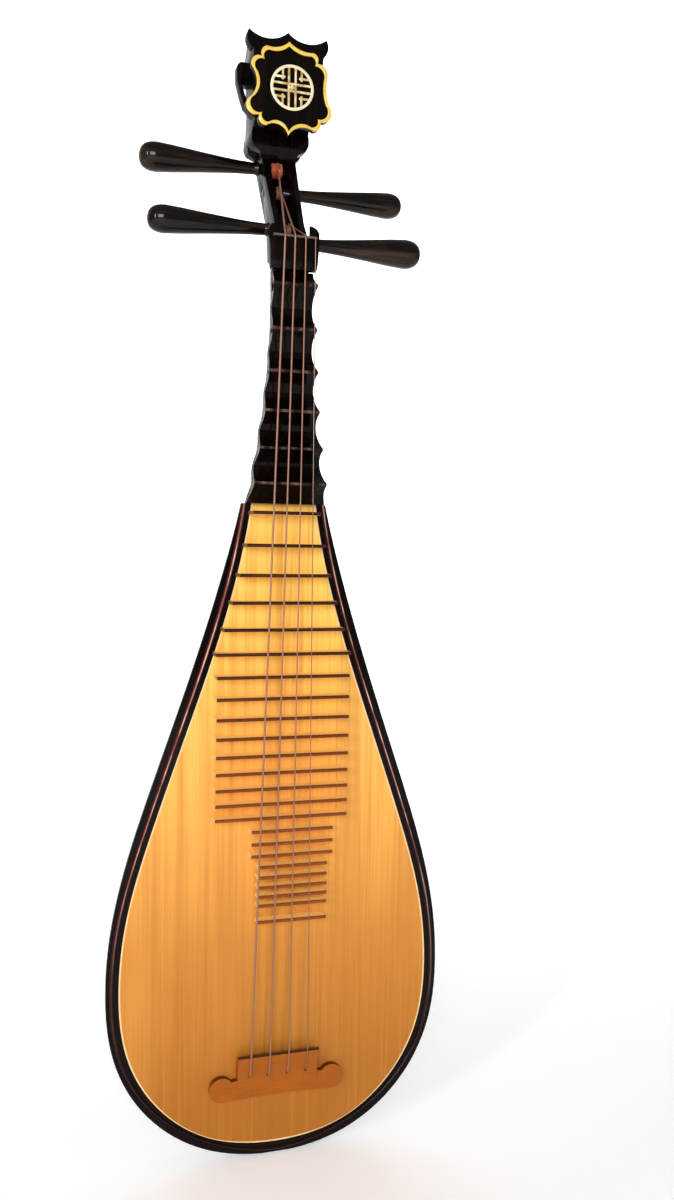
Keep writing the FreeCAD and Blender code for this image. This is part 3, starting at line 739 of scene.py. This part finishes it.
def strip_fret_tree():
    """Bamboo strips at the equal-tempered places of a string, each with a skin on its crown.

    Each point of the input mesh is one strip, with its semitone, its half width, its shift
    to the right and how far it is raised above its equal-tempered place."""
    tree = Tree("Strip frets")
    length = tree.input("Sounding Length", "Float")
    nut = tree.input("Nut Height", "Float")
    low_top = tree.input("Top At Bridge", "Float")
    high_top = tree.input("Top At Nut", "Float")
    thickness = tree.input("Thickness", "Float")
    face = tree.input("Face Material", "Material")
    skin = tree.input("Skin Material", "Material")

    semitone = tree.attribute("semitone")
    share = tree.maths("POWER", 2.0, tree.maths("DIVIDE", semitone, -12.0))
    place = tree.maths("MULTIPLY", length, share)
    z = tree.maths("ADD", tree.maths("SUBTRACT", nut, length), place)
    z = tree.maths("ADD", z, tree.attribute("raised"))
    rise = tree.maths("MULTIPLY", tree.maths("SUBTRACT", high_top, low_top), share)
    top = tree.maths("ADD", low_top, rise)
    radius = tree.maths("DIVIDE", thickness, 2.0)
    crown = tree.maths("SUBTRACT", top, radius)
    width = tree.maths("MULTIPLY", tree.attribute("half_width"), 2.0)

    points = tree.node("GeometryNodeSetPosition", {
        "Geometry": tree.start.outputs[0],
        "Position": tree.vector(tree.attribute("shift"), 0.0, z)}).outputs[0]
    block = tree.node("GeometryNodeMeshCube", {"Size": (1, 1, 1)}).outputs["Mesh"]
    block = tree.node("GeometryNodeTransform", {
        "Geometry": block, "Translation": (0, -0.5, 0)}).outputs[0]
    block = tree.mark(block, "crown", 0.0)
    webs = tree.node("GeometryNodeInstanceOnPoints", {
        "Points": points, "Instance": block,
        "Scale": tree.vector(width, crown, thickness)}).outputs[0]

    rod = tree.node("GeometryNodeMeshCylinder", {
        "Vertices": 24, "Radius": radius, "Depth": 1.0}).outputs["Mesh"]
    rod = tree.node("GeometryNodeTransform", {
        "Geometry": rod, "Rotation": (0, math.pi / 2, 0)}).outputs[0]
    rod = tree.mark(rod, "crown", 1.0)
    raised = tree.node("GeometryNodeSetPosition", {
        "Geometry": points,
        "Offset": tree.vector(0.0, tree.maths("MULTIPLY", crown, -1.0), 0.0)}).outputs[0]
    crowns = tree.node("GeometryNodeInstanceOnPoints", {
        "Points": raised, "Instance": rod, "Scale": tree.vector(width, 1.0, 1.0)}).outputs[0]
    both = tree.node("GeometryNodeJoinGeometry")
    tree.group.links.new(webs, both.inputs[0])
    tree.group.links.new(crowns, both.inputs[0])
    tree.close(both.outputs[0], (face, None), (skin, "crown"))
    return tree


def winding_tree():
    """Turns of thread round a shaft in three layers, each a little shorter than the last."""
    tree = Tree("Thread winding")
    centre = tree.input("Centre", "Vector")
    inner = tree.input("Inner Radius", "Float")
    outer = tree.input("Outer Radius", "Float")
    width = tree.input("Width", "Float")
    thread = tree.input("Thread Radius", "Float")
    material = tree.input("Thread Material", "Material")

    layers = tree.node("GeometryNodeJoinGeometry")
    step = tree.maths("DIVIDE", tree.maths("SUBTRACT", tree.maths("SUBTRACT", outer, inner),
                                           tree.maths("MULTIPLY", thread, 2.0)), 2.0)
    for layer in (0, 1, 2):
        radius = tree.maths("ADD", tree.maths("ADD", inner, thread),
                            tree.maths("MULTIPLY", step, float(layer)))
        run = tree.maths("MULTIPLY", tree.maths("SUBTRACT", width,
                                                tree.maths("MULTIPLY", thread, 2.0)),
                         (1.0, 0.94, 0.8)[layer])
        turns = tree.maths("DIVIDE", run, tree.maths("MULTIPLY", thread, 2.05))
        coil = tree.node("GeometryNodeCurveSpiral", {
            "Resolution": 26, "Rotations": turns, "Start Radius": radius,
            "End Radius": radius, "Height": run, "Reverse": layer == 1}).outputs[0]
        sunk = tree.vector(0.0, 0.0, tree.maths("MULTIPLY", run, -0.5))
        coil = tree.node("GeometryNodeTransform", {"Geometry": coil,
                                                   "Translation": sunk}).outputs[0]
        tree.group.links.new(coil, layers.inputs[0])
    section = tree.node("GeometryNodeCurvePrimitiveCircle", {
        "Resolution": 8, "Radius": thread}).outputs[0]
    body = tree.node("GeometryNodeCurveToMesh", {
        "Curve": layers.outputs[0], "Profile Curve": section, "Fill Caps": True}).outputs[0]
    placed = tree.node("GeometryNodeTransform", {
        "Geometry": body, "Rotation": (0, math.pi / 2, 0), "Translation": centre}).outputs[0]
    smooth = tree.node("GeometryNodeSetShadeSmooth", {"Geometry": placed}).outputs[0]
    tree.close(smooth, (material, None))
    return tree


# ---- pieces ----------------------------------------------------------------------------
class LUTE_OT_body(bpy.types.Operator):
    """Back shell, soundboard, purfling, edge binding and the hidden braces"""
    bl_idname = "lute.body"
    bl_label = "Body"

    def execute(self, context):
        look = context.scene.lute_finish
        lacquer = lacquered("lacquer_body", look.lacquer[:], look.lacquer_grain[:], "Z", 1.0,
                            gloss=0.1)
        shell = clean_copy("back_shell", "lute_back")
        finished(shell, BODY, "lacquered_wood", lacquer, "back_shell")
        repaint("soundboard", soundboard_finish(look.board_top_and_highlight[:], look.board_middle[:],
                                                look.board_low[:], look.board_tail[:]))
        repaint("purfling", plain_finish("purfling_inlay", look.purfling[:], 0.4, 0.2))
        bead = rim_bead("rim_binding", "edge_binding", 0.0016, 0.0012)
        finished(bead, BODY, "binding_wood",
                 binding_finish(look.binding[:], look.binding_crown_highlight[:]), "edge_binding")
        raw = plain_finish("raw_softwood", tint(222, 188, 138), 0.6)
        repaint("sound_braces", raw)
        repaint("sound_post", raw)
        return {"FINISHED"}


class LUTE_OT_neck(bpy.types.Operator):
    """Neck, carved neck frets, nut block and nut"""
    bl_idname = "lute.neck"
    bl_label = "Neck"

    def execute(self, context):
        look = context.scene.lute_finish
        lacquer = lacquered("lacquer_neck", look.lacquer[:], look.lacquer_grain[:], "Z", 1.2)
        finished(clean_copy("neck", "lute_neck"), BODY, "lacquered_wood", lacquer, "neck")
        carved = lacquered("lacquer_frets", look.lacquer[:], look.lacquer_grain[:], "Z", 1.2,
                           wear_and_highlight=look.ridge_wear_and_highlight[:])
        for number in range(1, 7):
            node = "block_fret_%d" % number
            block = soften(clean_copy(node, "carved_fret_%d" % number, 30), 0.0007, 40)
            finished(block, BODY, "lacquered_wood", carved, node)
        block = soften(clean_copy("nut_block", "nut_stand"), 0.0008)
        finished(block, BODY, "lacquered_wood", lacquer, "nut_block")
        repaint("nut", plain_finish("nut_strip_finish", tint(104, 78, 64), 0.35, 0.2))
        return {"FINISHED"}


class LUTE_OT_strip_frets(bpy.types.Operator):
    """Bamboo strips on the soundboard, at the places the sounding length gives"""
    bl_idname = "lute.strip_frets"
    bl_label = "Strip frets"

    def execute(self, context):
        look = context.scene.lute_finish
        sizes = context.scene.lute_frets
        nodes = sorted(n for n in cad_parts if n.startswith("strip_fret_"))
        mesh = bpy.data.meshes.new("strip_frets")
        mesh.from_pydata([(0, 0, 0)] * len(nodes), [], [])
        values = {"semitone": [], "half_width": [], "shift": [], "raised": []}
        for node in nodes:
            low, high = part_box(node)
            height = (low[2] + high[2]) / 2 - sizes.nut_height + sizes.scale_length
            semitone = round(12 * math.log2(sizes.scale_length / height))
            values["semitone"].append(semitone)
            values["raised"].append(height - sizes.scale_length * 2 ** (-semitone / 12))
            values["half_width"].append((high[0] - low[0]) / 2)
            values["shift"].append((high[0] + low[0]) / 2)
        for key, numbers in values.items():
            mesh.attributes.new(key, "FLOAT", "POINT").data.foreach_set("value", numbers)
        strips = add_object("strip_frets", mesh)
        strip_fret_tree().apply(
            strips, Sounding_Length=sizes.scale_length, Nut_Height=sizes.nut_height,
            Top_At_Bridge=sizes.top_at_bridge, Top_At_Nut=sizes.top_at_nut,
            Thickness=sizes.thickness, Face_Material=bamboo_finish(
                look.bamboo[:], look.bamboo_skin[:]),
            Skin_Material=bamboo_skin_finish(look.bamboo_skin[:]))
        strips.data.shade_smooth()
        strips.data.set_sharp_from_angle(angle=math.radians(40))
        finished(strips, BODY, "bamboo", None, *nodes)
        return {"FINISHED"}


class LUTE_OT_pegbox(bpy.types.Operator):
    """Pegbox with its string slot"""
    bl_idname = "lute.pegbox"
    bl_label = "Pegbox"

    def execute(self, context):
        look = context.scene.lute_finish
        lacquer = lacquered("lacquer_pegbox", look.lacquer[:], look.lacquer_grain[:], "Z", 1.0)
        finished(soften(clean_copy("pegbox", "lute_pegbox"), 0.0009, 50), BODY,
                 "lacquered_wood", lacquer, "pegbox")
        return {"FINISHED"}


class LUTE_OT_pegs(bpy.types.Operator):
    """Four turned tuning pegs with long handles"""
    bl_idname = "lute.pegs"
    bl_label = "Tuning pegs"

    def execute(self, context):
        look = context.scene.lute_finish
        sizes = context.scene.lute_pegs
        wood = lacquered("peg_polish", look.peg[:], look.peg_grain[:], "X", 1.5, 0.24,
                         coat=0.5)
        for number in PEGS:
            node = "peg_" + number
            low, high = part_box(node)
            side = 1 if high[0] > -low[0] else -1
            reach = max(high[0], -low[0])
            inner = min(high[0], -low[0])
            knob = (high[1] - low[1]) / 2
            y = (high[1] + low[1]) / 2
            z = (high[2] + low[2]) / 2
            peg = turned("tuning_peg_" + number,
                         peg_profile(reach, inner, knob, sizes), side, y, z)
            finished(peg, "tuning_peg_" + number, "peg_wood", wood, node)
        return {"FINISHED"}


def peg_profile(reach, cheek, knob, sizes):
    """(place along the peg, radius): shaft, root ring, swelling handle, knob and button."""
    root = cheek + 0.0008
    length = reach - root
    shaft, ring = sizes.shaft_radius, sizes.root_radius
    profile = [(-cheek, shaft - 0.0006), (-cheek + 0.0006, shaft), (cheek + 0.0002, shaft),
               (root, shaft + 0.0004), (root + 0.0003, ring + 0.0003),
               (root + 0.0012, ring + 0.0006), (root + 0.0022, ring + 0.0002),
               (root + 0.0030, ring - 0.0005)]
    handle = ((0.06, 0.0), (0.16, 0.06), (0.28, 0.19), (0.40, 0.36), (0.52, 0.54),
              (0.64, 0.74), (0.74, 0.90), (0.81, 0.98), (0.86, 1.0), (0.90, 0.975),
              (0.935, 0.90), (0.96, 0.79), (0.977, 0.66), (0.988, 0.52), (0.994, 0.40))
    for share, swell in handle:
        if share < 0.85:
            radius = ring - 0.0003 + (knob - ring) * swell
        else:
            radius = knob * swell
        profile.append((root + share * length, radius))
    profile += [(reach - 0.0005, knob * 0.28), (reach - 0.0001, knob * 0.22),
                (reach, knob * 0.10)]
    return profile


class LUTE_OT_windings(bpy.types.Operator):
    """Turns of string on each peg's shaft"""
    bl_idname = "lute.windings"
    bl_label = "Windings"

    def execute(self, context):
        look = context.scene.lute_finish
        sizes = context.scene.lute_pegs
        tree = winding_tree()
        wound = string_finish("winding_wrap", look.string[:], 0.0006)
        steel = plain_finish("winding_steel", tint(190, 184, 176), 0.3, metallic=0.8)
        amber = amber_finish(look.amber[:])
        kinds = {"1": (steel, "plain_string"), "2": (wound, "wound_string"),
                 "3": (wound, "wound_string"), "4": (amber, "amber_winding")}
        for number in PEGS:
            node = "winding_" + number
            low, high = (Vector(corner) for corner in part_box(node))
            material, slot = kinds[number]
            coil = add_object("string_coil_" + number,
                              bpy.data.meshes.new("string_coil_" + number))
            tree.apply(coil, Centre=(low + high) / 2, Inner_Radius=sizes.shaft_radius,
                       Outer_Radius=(high.z - low.z) / 2, Width=high.x - low.x,
                       Thread_Radius=sizes.thread, Thread_Material=material)
            finished(coil, "tuning_peg_" + number, slot, None, node)
        return {"FINISHED"}


class LUTE_OT_strings(bpy.types.Operator):
    """Four strings from the bridge, over the nut, to the pegs"""
    bl_idname = "lute.strings"
    bl_label = "Strings"

    def execute(self, context):
        look = context.scene.lute_finish
        wound = string_finish("string_wrap", look.string[:], 0.0006, 0.3)
        steel = plain_finish("string_steel", tint(150, 122, 104), 0.32, metallic=0.7)
        for number in PEGS:
            node = "string_" + number
            string = clean_copy(node, "played_string_" + number, 60)
            last = number == "4"
            finished(string, BODY, "plain_string" if last else "wound_string",
                     steel if last else wound, node)
        return {"FINISHED"}


class LUTE_OT_bridge(bpy.types.Operator):
    """Bridge with two round lobes and its dark string edge"""
    bl_idname = "lute.bridge"
    bl_label = "Bridge"

    def execute(self, context):
        look = context.scene.lute_finish
        bridge = soften(clean_copy("bridge", "string_bridge"), 0.0009, 45)
        finished(bridge, BODY, "bridge_wood", bridge_finish(look.bridge[:]), "bridge")
        repaint("bridge_edge", plain_finish("bridge_edge_dark", look.dark_edge[:], 0.3, 0.4))
        return {"FINISHED"}


class LUTE_OT_head(bpy.types.Operator):
    """Head block, crest and shield plate"""
    bl_idname = "lute.head"
    bl_label = "Head"

    def execute(self, context):
        look = context.scene.lute_finish
        lacquer = lacquered("lacquer_head", look.lacquer[:], look.lacquer_grain[:], "Z", 1.0)
        for node, name, width in (("head_block", "head_carving", 0.0016),
                                  ("crest", "head_crest", 0.0012),
                                  ("shield_plate", "head_shield", 0.0008)):
            piece = soften(clean_copy(node, name), width, 30, 4)
            finished(piece, BODY, "lacquered_wood", lacquer, node)
        return {"FINISHED"}


class LUTE_OT_gilding(bpy.types.Operator):
    """Raised band round the shield and the openwork medallion"""
    bl_idname = "lute.gilding"
    bl_label = "Gilded trim"

    def execute(self, context):
        gilt = gilt_finish(context.scene.lute_finish.gilt[:])
        band = soften(clean_copy("shield_band", "gilt_band"), 0.0008, 50)
        finished(band, BODY, "gilt_wood", gilt, "shield_band")
        fretwork = soften(clean_copy("medallion", "gilt_medallion"), 0.0004, 50, 2)
        finished(fretwork, BODY, "gilt_wood", gilt, "medallion")
        return {"FINISHED"}


class LUTE_OT_stage(bpy.types.Operator):
    """Pale floor and backdrop, soft lights and the camera"""
    bl_idname = "lute.stage"
    bl_label = "Stage"

    def execute(self, context):
        scene = context.scene
        stage = scene.lute_stage
        pale = Finish("studio_floor")
        pale.set(Base_Color=(*stage.floor, 1.0), Roughness=0.9,
                 Emission_Color=(*stage.floor, 1.0), Emission_Strength=0.25)
        backdrop(CAD_LOW.z - 0.0005, pale.material)
        soft_light("key", (-0.75, -2.5, 0.35), (0, 0, -0.3), 1.1, 1.1, stage.key_power)
        soft_light("side", (-1.7, -1.6, 0.3), (0, 0, -0.2), 0.16, 1.0, stage.side_power)
        soft_light("wall", (1.1, 0.9, 1.4), (0.9, 2.6, 0.7), 1.8, 1.0, stage.wall_power)
        world = bpy.data.worlds.new("studio_room")
        scene.world = world
        world.use_nodes = True
        nodes, links = world.node_tree.nodes, world.node_tree.links
        air = nodes["Background"]
        air.inputs["Color"].default_value = (1.0, 1.0, 1.0, 1.0)
        air.inputs["Strength"].default_value = stage.world
        seen = nodes.new("ShaderNodeBackground")
        seen.inputs["Color"].default_value = (1.0, 1.0, 1.0, 1.0)
        seen.inputs["Strength"].default_value = 1.0
        ray = nodes.new("ShaderNodeLightPath")
        either = nodes.new("ShaderNodeMixShader")
        links.new(ray.outputs["Is Camera Ray"], either.inputs[0])
        links.new(air.outputs[0], either.inputs[1])
        links.new(seen.outputs[0], either.inputs[2])
        links.new(either.outputs[0], nodes["World Output"].inputs["Surface"])
        scene.view_settings.view_transform = "Standard"

        camera_data = bpy.data.cameras.new("studio_camera")
        camera_data.lens = stage.lens
        camera_data.sensor_width = 36.0
        camera_data.sensor_fit = "AUTO"
        camera = add_object("studio_camera", camera_data)
        camera.location = stage.eye
        camera.rotation_euler = stage.turn
        scene.camera = camera
        return {"FINISHED"}


def backdrop(floor, material):
    """Floor sheet that curves up into a wall behind the object."""
    line = [(-4.0, floor), (1.6, floor)]
    for step in range(1, 13):
        angle = math.pi / 2 * step / 12
        line.append((1.6 + math.sin(angle), floor + 1 - math.cos(angle)))
    line.append((2.6, floor + 4.0))
    points = [(x, y, z) for y, z in line for x in (-4.0, 4.0)]
    faces = [[2 * i, 2 * i + 1, 2 * i + 3, 2 * i + 2] for i in range(len(line) - 1)]
    mesh = mesh_from("studio_backdrop", points, faces)
    mesh.materials.append(material)
    return add_object("studio_backdrop", mesh)


def soft_light(name, place, target, width, height, power):
    data = bpy.data.lights.new(name, "AREA")
    data.shape = "RECTANGLE"
    data.size = width
    data.size_y = height
    data.energy = power
    light = add_object(name, data)
    light.location = place
    aim = Vector(target) - Vector(place)
    light.rotation_euler = aim.to_track_quat("-Z", "Y").to_euler()


# ---- panel and start -------------------------------------------------------------------
PIECES = (LUTE_OT_stage, LUTE_OT_body, LUTE_OT_neck, LUTE_OT_strip_frets, LUTE_OT_pegbox,
          LUTE_OT_pegs, LUTE_OT_windings, LUTE_OT_strings, LUTE_OT_bridge, LUTE_OT_head,
          LUTE_OT_gilding)
SETTINGS = (("lute_finish", LuteFinish), ("lute_frets", LuteFrets), ("lute_pegs", LutePegs),
            ("lute_stage", LuteStage))


class LUTE_PT_panel(bpy.types.Panel):
    """Lists the pieces and their settings"""
    bl_label = "Lute"
    bl_idname = "LUTE_PT_panel"
    bl_space_type = "VIEW_3D"
    bl_region_type = "UI"
    bl_category = "Lute"

    def draw(self, context):
        for piece in PIECES:
            self.layout.operator(piece.bl_idname)
        for name, group in SETTINGS:
            box = self.layout.box()
            for key in group.__annotations__:
                box.prop(getattr(context.scene, name), key)


def register():
    for _, group in SETTINGS:
        bpy.utils.register_class(group)
    for name, group in SETTINGS:
        setattr(bpy.types.Scene, name, bpy.props.PointerProperty(type=group))
    for cls in PIECES + (LUTE_PT_panel,):
        bpy.utils.register_class(cls)


def unregister():
    for cls in reversed(PIECES + (LUTE_PT_panel,)):
        bpy.utils.unregister_class(cls)
    for name, group in reversed(SETTINGS):
        delattr(bpy.types.Scene, name)
        bpy.utils.unregister_class(group)


def main():
    register()
    for piece in PIECES:
        category, action = piece.bl_idname.split(".")
        getattr(getattr(bpy.ops, category), action)()


if __name__ == "__main__":
    main()
